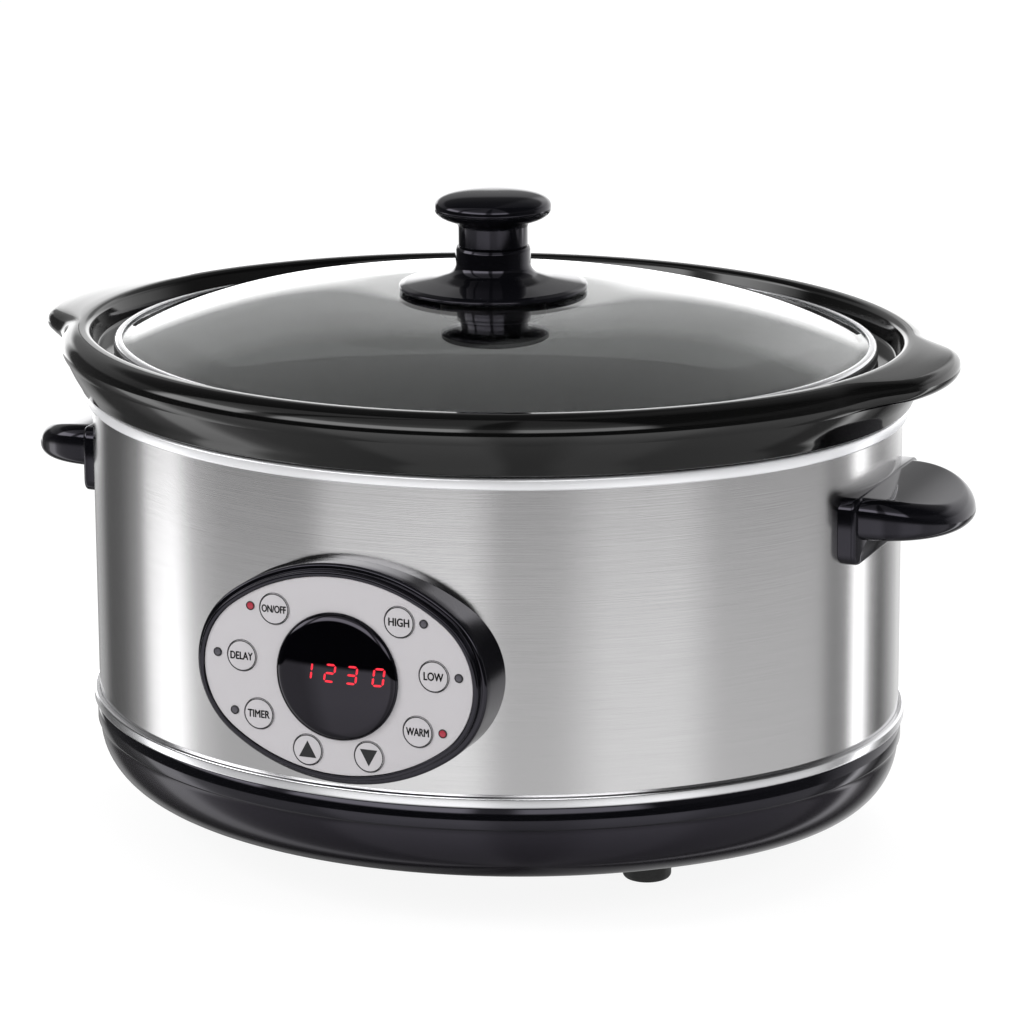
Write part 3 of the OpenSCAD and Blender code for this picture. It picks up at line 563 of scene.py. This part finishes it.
def lamps():
    back, dome = FRONT - 0.5, [(LAMP_R * 0.8, FRONT + 0.35), (0, FRONT + 0.55)]
    profile = [(0, back), (LAMP_R, back), (LAMP_R, FRONT)] + dome
    back, out = FRONT - 0.3, LAMP_R + LAMP_CASE_T
    case = fillet([(LAMP_R, back), (out, back), (out, FRONT + 0.2), (LAMP_R, FRONT + 0.35)], [0, 0, 0.12, 0], 3)
    for i, (x, y, lit) in enumerate(LAMPS):
        lamp = lathe(f"lamp_{i}", profile, LAMP_ON if lit else LAMP_OFF, on_pod(x, y, 0), "y", 32)
        piece(lamp, "base", "lamp_red", *(["indicator_lamps"] if i == 0 else []))
        ring = lathe(f"lamp_case_{i}", case, LAMP_CASE, on_pod(x, y, 0), "y", 32, closed=True)
        piece(ring, "base", "gloss_black")


def lens_height(r):
    """Height of the window's dome above the fascia at radius r: a gentle dome with a rounder shoulder."""
    round_off = max(0.0, (r - (LENS_R - LENS_SHOULDER)) / LENS_SHOULDER)
    gentle = LENS_TOP - LENS_FALL * (min(r, LENS_R - LENS_SHOULDER) / LENS_R) ** 2
    slope = 2 * LENS_FALL * (LENS_R - LENS_SHOULDER) / LENS_R ** 2
    return gentle - slope * LENS_SHOULDER * round_off - LENS_ROLL * (1 - math.sqrt(max(1 - round_off ** 2, 0)))


def lens():
    middle, steps = on_pod(0, 0, 0), 40
    flat = [(0, FRONT - 1), (LENS_R, FRONT - 1)]
    radii = [LENS_R * math.cos(math.pi / 2 * i / steps) for i in range(steps + 1)]
    curve = [(r, FRONT + lens_height(r)) for r in radii]
    dome = lathe("window_dome", flat + curve, WINDOW, middle, "y", 128)
    piece(dome, "base", "display_window", "display_lens")
    r0, r1 = LENS_R - 0.05, LENS_R + 0.5
    band = fillet([(r0, FRONT), (r1, FRONT), (r1, FRONT + 0.5), (r0, FRONT + 1.1)], [0, 0, 0.3, 0], 4)
    piece(lathe("window_rim", band, GLOSS, middle, "y", 128, closed=True), "base", "gloss_black")


# Each segment's place in halves of a digit's width and height, then the segments of each number used and its place
SEGMENTS = {"a": (0, 2), "g": (0, 1), "d": (0, 0), "f": (-1, 1.5), "b": (1, 1.5), "e": (-1, 0.5), "c": (1, 0.5)}
SHAPES = {"1": "bc", "2": "abged", "3": "abgcd", "0": "abcdef"}
PLACES = [("1", -11.0), ("2", -1.4), ("3", 7.4), ("0", 18.0)]


def digits():
    """Slanted seven-segment numbers that follow the window's dome."""
    tall, wide, line, slant, middle = 3.25, 1.95, 0.42, 0.14, 2.2
    verts, faces = [], []
    for mark, centre in PLACES:
        for key in SHAPES[mark]:
            sx, sy = SEGMENTS[key]
            mx, my = centre + sx * wide, middle + (sy - 1) * tall
            flat = key in "agd"
            long = (wide if flat else tall / 2) - 0.3
            start, parts = len(verts), 6
            for i in range(parts + 1):
                along = -long + 2 * long * i / parts
                half = min(line, line * ((long - abs(along)) / line + 0.3))
                for across in (-half, half):
                    px, py = (mx + along, my + across) if flat else (mx + across, my + along)
                    px += slant * (py - middle)
                    verts.append(on_pod(px, py, FRONT + lens_height(math.hypot(px, py)) + INK_LIFT))
            for i in range(parts):
                k = start + 2 * i
                faces.append((k, k + 2, k + 3, k + 1))
    piece(make_mesh("display_digits", verts, faces, DIGITS), "base", "display_module")


# ---------- crock ----------


def ease(v):
    """A smooth step from 0 to 1."""
    v = min(max(v, 0), 1)
    return v * v * (3 - 2 * v)


def crock():
    """Rings up the outside, over the rim and its two wings, and down the inside."""
    fade = 26
    plain_low = fillet([(CROCK_OUT - 16, CROCK_Z0), (CROCK_OUT - 1, CROCK_Z0), (CROCK_OUT, REST_Z - 2),
                        (WELL_IN, REST_Z), (-7.6, REST_Z), (-6, REST_Z + 5), (-3, REST_Z + 8), (0.6, REST_Z + 8),
                        (1.6, REST_Z + 1.2), (3.6, REST_Z + 0.6), (4.9, REST_Z + 3.4)],
                       [0, 14, 1, 0.5, 1, 2, 2, 3, 1.6, 1.6, 0], 6)
    face_low = (RIM_OUT - 0.9, RIM_TOP - 9)
    floor = CROCK_Z0 + CROCK_FLOOR
    crown_in = fillet([(CROWN_IN, RIM_TOP), (0.2, RIM_TOP), (MOUTH, SEAT_Z), (LEDGE_IN, SEAT_Z),
                       (CROCK_IN, REST_Z - 12), (CROCK_IN - 3, floor), (CROCK_IN - 26, floor)],
                      [0, 3.4, 1.8, 4, 8, 18, 0], 8)
    arc = 14
    loop = oval_loop(BODY, 0)
    normals = [(b[0] - a[0], b[1] - a[1]) for a, b in zip(loop, oval_loop(BODY, 1))]
    wing_low, wing_top = RIM_TOP - 0.6 - WING_T, RIM_TOP - 0.6

    def ring(d_of, z_of):
        """One ring round the rim. w is 1 on a wing and 0 elsewhere."""
        points = []
        for (x, y), (nx, ny) in zip(loop, normals):
            w = 1 - ease((abs(y) - WING_W) / fade) if abs(x) > BODY[1] else 0.0
            d, z = d_of(w, y), z_of(w)
            points.append((x + nx * d, y + ny * d, z))
        return points

    def reach(w, y):
        return w * (WING_OUT - 0.004 * y * y)

    rings = [[(x, y, z) for x, y in oval_loop(BODY, d)] for d, z in plain_low]
    # the rim's flared face, then either its own round edge or the wing's flat tab
    flare = 6
    for i in range(flare + 1):
        t = i / flare
        z = plain_low[-1][1] + (face_low[1] - plain_low[-1][1]) * t
        bow = 1.3 * math.sin(math.pi * t)
        d = plain_low[-1][0] + (face_low[0] - plain_low[-1][0]) * t + bow * 0.4
        rings.append(ring(lambda w, y, d=d: d, lambda w, z=z: z))
    for t in (0.25, 0.5, 0.75):
        rings.append(ring(lambda w, y, t=t: face_low[0] + 0.5 * t + reach(w, y) * t,
                          lambda w, t=t: face_low[1] + 0.6 * t + w * (wing_low + 0.6 - face_low[1] - 0.6) * t))
    for i in range(arc + 1):
        t = math.pi / 2 * (-0.35 + 1.35 * i / arc)
        plain = (RIM_OUT - CROWN_R + CROWN_R * math.cos(t), RIM_TOP - CROWN_R + CROWN_R * math.sin(t))
        t2 = math.pi / 2 * (-1 + 2 * i / arc)
        wing = (RIM_OUT - TAB_R + TAB_R * math.cos(t2), (wing_low + wing_top) / 2 + TAB_R * math.sin(t2))
        rings.append(ring(lambda w, y, p=plain, q=wing: p[0] * (1 - w) + q[0] * w + reach(w, y),
                          lambda w, p=plain, q=wing: p[1] * (1 - w) + q[1] * w))
    for t in (0.25, 0.5, 0.75):
        rings.append(ring(lambda w, y, t=t: (RIM_OUT - CROWN_R + (CROWN_R - TAB_R) * w + reach(w, y)) * (1 - t)
                          + CROWN_IN * t,
                          lambda w, t=t: RIM_TOP * (1 - w) + (wing_top * (1 - t) + RIM_TOP * t) * w))
    rings += [[(x, y, z) for x, y in oval_loop(BODY, d)] for d, z in crown_in]
    piece(skin("stoneware_crock", rings, GLAZE, sharp=70), "crock", "glazed_stoneware", "crock")


# ---------- lid ----------


def dome_curve(z0, d0):
    """The glass's rise from its edge at z0 to its flat middle."""
    curve = []
    for i in range(DOME_STEPS + 1):
        t = i / DOME_STEPS
        curve.append((d0 - (DOME_W + d0) * t, z0 + DOME_H * (1 - (1 - t) ** 2)))
    return curve


def circle_like(o, r, z):
    """A circle with the same point count and directions as an oval's loop."""
    points = []
    for x, y in oval_loop(o, -DOME_W):
        t = math.atan2(y, x)
        points.append((r * math.cos(t), r * math.sin(t), z))
    return points


def lid():
    edge, z1 = -LID_LIP - 0.6, GLASS_Z0 + GLASS_T
    top = [(-LIP_T, GLASS_Z0 + 0.2), (-LIP_T, z1 - 0.4), (-LIP_T - 0.4, z1)] + dome_curve(z1, edge)
    under = dome_curve(GLASS_Z0, edge - 1)[::-1] + [(-LIP_T - 0.4, GLASS_Z0)]
    rings = [[(x, y, z) for x, y in oval_loop(LID, d)] for d, z in top]
    rings += [circle_like(LID, r, PLATEAU_Z) for r in (20, 3)]
    rings += [circle_like(LID, r, PLATEAU_Z - GLASS_T) for r in (3, 20)]
    rings += [[(x, y, z) for x, y in oval_loop(LID, d)] for d, z in under]
    piece(skin("glass_dome", rings, GLASS, closed=True), "lid", "lid_glass", "lid_glass")
    z0, z1, lip, back = LID_Z0, LID_Z0 + LID_RING_H, -LID_LIP, -0.9
    outline = [(lip, z0), (0, z0), (0, z1), (lip, z1), (lip, z1 - 0.6), (back, z1 - 0.6), (back, z0 + 0.95),
               (lip, z0 + 0.95)]
    profile = fillet(outline, [0.2, 1.6, 2, 0.25, 0.25, 0, 0, 0.2], 6, closed=True)
    piece(oval_skin("lid_rim", LID, profile, POLISHED, closed=True), "lid", "polished_trim", "lid_ring")


def knob():
    z, top = PLATEAU_Z, PLATEAU_Z + SKIRT_T
    skirt = [(SCREW_HOLE, z), (SKIRT_R - 1.2, z), (SKIRT_R, z + 0.9), (SKIRT_R, top - 0.8), (SKIRT_R - 2.6, top),
             (STEM_R + 9, top + 1.9), (STEM_R + 1, STEM_Z + 0.4), (STEM_R + 1, SEAM_Z - 1.2),
             (STEM_R + 0.5, SEAM_Z), (SCREW_HOLE, SEAM_Z)]
    profile = fillet(skirt, [0, 0.9, 1.2, 1.2, 3, 24, 5, 0.8, 0.4, 0], 8)
    piece(lathe("knob_skirt_shell", profile, GLOSS, closed=True), "lid", "gloss_black", "knob_skirt")
    # the head's side is a full oval, from a share low of its half height up to its top
    centre, half, widest = HEAD_Z + HEAD_H / 2, HEAD_H / 2 - 0.02, HEAD_R - 0.05
    full, low, steps = 2.4, -0.80, 60
    head = fillet([(SCREW_HOLE, SEAM_Z), (STEM_R - 0.5, SEAM_Z), (STEM_R, SEAM_Z + 0.8), (STEM_R, HEAD_Z + 0.4),
                   (widest * (1 - abs(low) ** full) ** (1 / full), centre + half * low)], [0, 0.3, 0.5, 2, 0], 8)
    for i in range(1, steps + 1):
        h = math.sin(math.asin(low) + (math.pi / 2 - math.asin(low)) * i / steps)
        head.append((widest * max(1 - abs(h) ** full, 0) ** (1 / full), centre + half * h))
    piece(lathe("knob_head_shell", head, GLOSS, caps=(False, False)), "lid", "gloss_black", "knob_head")
    z1 = PLATEAU_Z - GLASS_T
    z0 = z1 - WASHER_T
    washer = fillet([(SCREW_HOLE, z0), (WASHER_R, z0), (WASHER_R, z1), (SCREW_HOLE, z1)], [0, 2, 0, 0], 6)
    piece(lathe("knob_washer_shell", washer, INNER, closed=True), "lid", "inner_black", "knob_washer")


# ---------- what stays as the CAD made it ----------

CAD_LOOKS = {
    "bottom_plate": PLAIN_STEEL, "foot_screws": ZINC, "heating_band": MICA, "insulation_wrap": FELT,
    "tie_stud": ZINC, "tie_nut": ZINC, "temperature_sensor": ALUMINIUM, "thermal_fuse": MICA, "handle_screws": ZINC,
    "pod_retainer": PLAIN_STEEL, "fascia_plate": FASCIA, "display_module": INNER, "control_board": BOARD,
    "tact_switches": INNER, "board_screws": ZINC, "power_board": BOARD, "power_parts": INNER, "power_spacers": ZINC,
    "cord_gland": INNER, "gland_nut": INNER, "knob_screw": ZINC,
}


def dress_cad():
    """Gives the CAD nodes that no piece replaces their materials."""
    for name, material in CAD_LOOKS.items():
        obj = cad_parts[name]
        if not obj.material_slots:
            obj.data.materials.append(material)
        for slot in obj.material_slots:
            slot.material = material


# ---------- stage ----------

# Strengths of the white background, of the even light on the object and of the floor's own white
BACKGROUND, FILL, PAPER_GLOW = 1.0, 0.55, 1.12
FLOOR_HALF, FLOOR_DROP = 4.0, 0.0002
MOST = 8.0

# What shiny surfaces see of the studio: brightness by compass angle, in degrees from straight in front, for the
# sweep of the floor, for the walls and for the lamps above
FLOOR_RING = [
    (-180, .9), (-168, .8), (-154, .15), (-146, .35), (-139, .55), (-131, .45), (-124, .1), (-111, .15), (-99, .45),
    (-95, 1.5), (-83, 2.1), (-75, .85), (-64, .6), (-36, .62), (-29, 1.1), (8, 1.25), (16, .72), (31, .75),
    (43, 1.1), (64, 1.1), (74, .75), (106, .7), (114, .66), (120, .3), (131, .3), (138, 3.0), (146, .5), (156, .1),
    (178, .8),
]
WALL_RING = [
    (-180, 1.6), (-166, 2.2), (-150, 2.6), (-132, 2.4), (-124, .1), (-60, .02), (60, .02), (110, .08), (134, .9),
    (180, 1.6),
]
LAMP_RING = [
    (-180, 1.2), (-174, 1.0), (-168, .4), (-130, .4), (-84, .2), (-78, 3.4), (-52, 3.4), (-49, .5), (-43, .5),
    (-40, 3.4), (6, 3.4), (10, .5), (18, .5), (22, 2.6), (50, 2.6), (56, .1), (120, .1), (150, 1.0), (180, 1.2),
]
# The share of each of the three rings by height, from straight down at -1 to straight up at 1
ZONES = [(-1.0, .4, 0, 0), (-0.6, .8, 0, 0), (-0.4, 1, 0, 0), (-0.235, 1, 0, 0), (-0.215, 0, 1, 0), (0.16, 0, 1, 0),
         (0.24, 0, 0, 1), (0.44, 0, 0, 1), (0.52, 0, 0, .25), (0.75, 0, 0, .12), (1.0, 0, 0, .1)]


def maths(tree, operation, *values):
    """One sum, with numbers or sockets as its values."""
    node = tree.nodes.new("ShaderNodeMath")
    node.operation = operation
    for i, value in enumerate(values):
        if isinstance(value, (int, float)):
            node.inputs[i].default_value = value
        else:
            tree.links.new(value, node.inputs[i])
    return node.outputs[0]


def ramp(tree, factor, stops):
    """Colour stops between 0 and 1, with the colours as three numbers or one."""
    node = tree.nodes.new("ShaderNodeValToRGB")
    elements = node.color_ramp.elements
    while len(elements) < len(stops):
        elements.new(0.5)
    for element, (place, colour) in zip(elements, stops):
        element.position = place
        element.color = (*(colour if isinstance(colour, tuple) else (colour,) * 3), 1)
    tree.links.new(factor, node.inputs["Fac"])
    return node.outputs["Color"]


def rays(tree, *kinds):
    """1 for rays of the given kinds, 0 for others."""
    path = tree.nodes.new("ShaderNodeLightPath")
    seen = path.outputs[kinds[0]]
    for kind in kinds[1:]:
        seen = maths(tree, "MAXIMUM", seen, path.outputs[kind])
    return seen


def studio_rings(tree):
    """The brightness that shiny surfaces see, by direction. Ramps hold up to 1, so levels are shares of MOST."""
    coords = tree.nodes.new("ShaderNodeTexCoord")
    split = tree.nodes.new("ShaderNodeSeparateXYZ")
    tree.links.new(coords.outputs["Generated"], split.inputs["Vector"])
    x, y, z = split.outputs
    angle = maths(tree, "ARCTAN2", x, maths(tree, "MULTIPLY", y, -1))
    turn = maths(tree, "ADD", maths(tree, "DIVIDE", angle, 2 * math.pi), 0.5)
    height = maths(tree, "ADD", maths(tree, "MULTIPLY", z, 0.5), 0.5)
    shares = tree.nodes.new("ShaderNodeSeparateColor")
    stops = [((h + 1) / 2, (low, mid, high)) for h, low, mid, high in ZONES]
    tree.links.new(ramp(tree, height, stops), shares.inputs["Color"])
    total = 0.0
    for ring, share in zip((FLOOR_RING, WALL_RING, LAMP_RING), shares.outputs):
        level = ramp(tree, turn, [((t + 180) / 360, v / MOST) for t, v in ring])
        total = maths(tree, "MULTIPLY_ADD", maths(tree, "MULTIPLY", level, share), MOST, total)
    return total


def studio():
    """A white world for the camera and the glass, even light, and the rings for shiny surfaces."""
    world = bpy.data.worlds.new("studio")
    bpy.context.scene.world = world
    world.use_nodes = True
    tree = world.node_tree
    background = tree.nodes["Background"]
    background.inputs["Color"].default_value = (1, 1, 1, 1)
    seen = rays(tree, "Is Camera Ray", "Is Transmission Ray")
    shiny = maths(tree, "MULTIPLY", rays(tree, "Is Glossy Ray"), maths(tree, "SUBTRACT", 1, seen))
    plain = maths(tree, "MULTIPLY_ADD", seen, BACKGROUND - FILL, FILL)
    rest = maths(tree, "MULTIPLY", plain, maths(tree, "SUBTRACT", 1, shiny))
    level = maths(tree, "MULTIPLY_ADD", studio_rings(tree), shiny, rest)
    tree.links.new(level, background.inputs["Strength"])


def table():
    """White paper under the object, which keeps its shadow."""
    half = FLOOR_HALF
    mesh = bpy.data.meshes.new("floor")
    mesh.from_pydata([(-half, -half, 0), (half, -half, 0), (half, half, 0), (-half, half, 0)], [], [(0, 1, 2, 3)])
    floor = bpy.data.objects.new("floor", mesh)
    bpy.context.scene.collection.objects.link(floor)
    floor.location.z = -FLOOR_DROP
    floor.visible_glossy = False
    material = bpy.data.materials.new("floor_white")
    material.use_nodes = True
    tree = material.node_tree
    tree.nodes.remove(tree.nodes["Principled BSDF"])
    paper = tree.nodes.new("ShaderNodeBsdfDiffuse")
    paper.inputs["Color"].default_value = (0.86, 0.86, 0.86, 1)
    glow = tree.nodes.new("ShaderNodeEmission")
    glow.inputs["Strength"].default_value = PAPER_GLOW
    mix = tree.nodes.new("ShaderNodeMixShader")
    share = maths(tree, "MULTIPLY", rays(tree, "Is Camera Ray", "Is Transmission Ray"), 0.8)
    tree.links.new(share, mix.inputs["Fac"])
    tree.links.new(paper.outputs["BSDF"], mix.inputs[1])
    tree.links.new(glow.outputs["Emission"], mix.inputs[2])
    tree.links.new(mix.outputs["Shader"], tree.nodes["Material Output"].inputs["Surface"])
    mesh.materials.append(material)


def softbox(name, place, size, power, colour=(1, 1, 1)):
    """A rectangular lamp aimed at the object's middle, which shiny surfaces don't mirror."""
    light = bpy.data.lights.new(name, "AREA")
    light.shape = "RECTANGLE"
    light.size, light.size_y = size
    light.energy = power
    light.color = colour
    obj = bpy.data.objects.new(name, light)
    bpy.context.scene.collection.objects.link(obj)
    obj.location = place
    aim = Vector((0, 0, 0.13)) - Vector(place)
    obj.rotation_euler = aim.to_track_quat("-Z", "Y").to_euler()
    obj.visible_glossy = False
    obj.visible_transmission = False


def lights():
    softbox("key_left", (-1.7, -1.1, 1.1), (0.5, 1.6), 26)
    softbox("side_right", (1.9, -0.1, 0.8), (0.5, 1.4), 16, (0.96, 0.98, 1.0))
    softbox("top", (0.1, 0.3, 2.2), (1.6, 1.2), 20)


# ---------- camera ----------

# Fitted to the photograph: angles in radians, distances in metres, the focal length and the offset in pixels
AZIMUTH, ELEVATION, DISTANCE = 0.393903, 0.242210, 1.899738
AIM_HEIGHT = 0.15075
FOCAL_PX, ROLL = 4730.97, -0.0066057
OFF_AXIS_X, OFF_AXIS_Y = 507.5 - 494.41, 508.0 - 459.41
IMAGE_W = 1015
SENSOR = 36


def camera():
    """The photograph's camera, turned to look at the middle of the frame, so that it needs no shift."""
    level = math.cos(ELEVATION)
    back = Vector((math.sin(AZIMUTH) * level, -math.cos(AZIMUTH) * level, math.sin(ELEVATION)))
    right = Vector((math.cos(AZIMUTH), math.sin(AZIMUTH), 0))
    up = back.cross(right)
    turned_right = right * math.cos(ROLL) + up * math.sin(ROLL)
    turned_down = right * math.sin(ROLL) - up * math.cos(ROLL)
    look = -back * FOCAL_PX + turned_right * OFF_AXIS_X + turned_down * OFF_AXIS_Y
    look.normalize()
    side = (turned_right - look * turned_right.dot(look)).normalized()
    top = side.cross(look)
    data = bpy.data.cameras.new("camera")
    data.sensor_fit = "HORIZONTAL"
    data.sensor_width = SENSOR
    data.lens = FOCAL_PX / IMAGE_W * SENSOR
    obj = bpy.data.objects.new("camera", data)
    bpy.context.scene.collection.objects.link(obj)
    place = back * DISTANCE + Vector((0, 0, AIM_HEIGHT))
    rotation = Matrix((side, top, -look)).transposed()
    obj.matrix_world = Matrix.Translation(place) @ rotation.to_4x4()
    bpy.context.scene.camera = obj


outer_wall()
trims()
base()
feet()
well()
handle(1)
handle(-1)
pod()
buttons()
lamps()
lens()
digits()
crock()
lid()
knob()
dress_cad()
studio()
table()
lights()
camera()
bpy.context.scene.view_settings.view_transform = "Standard"
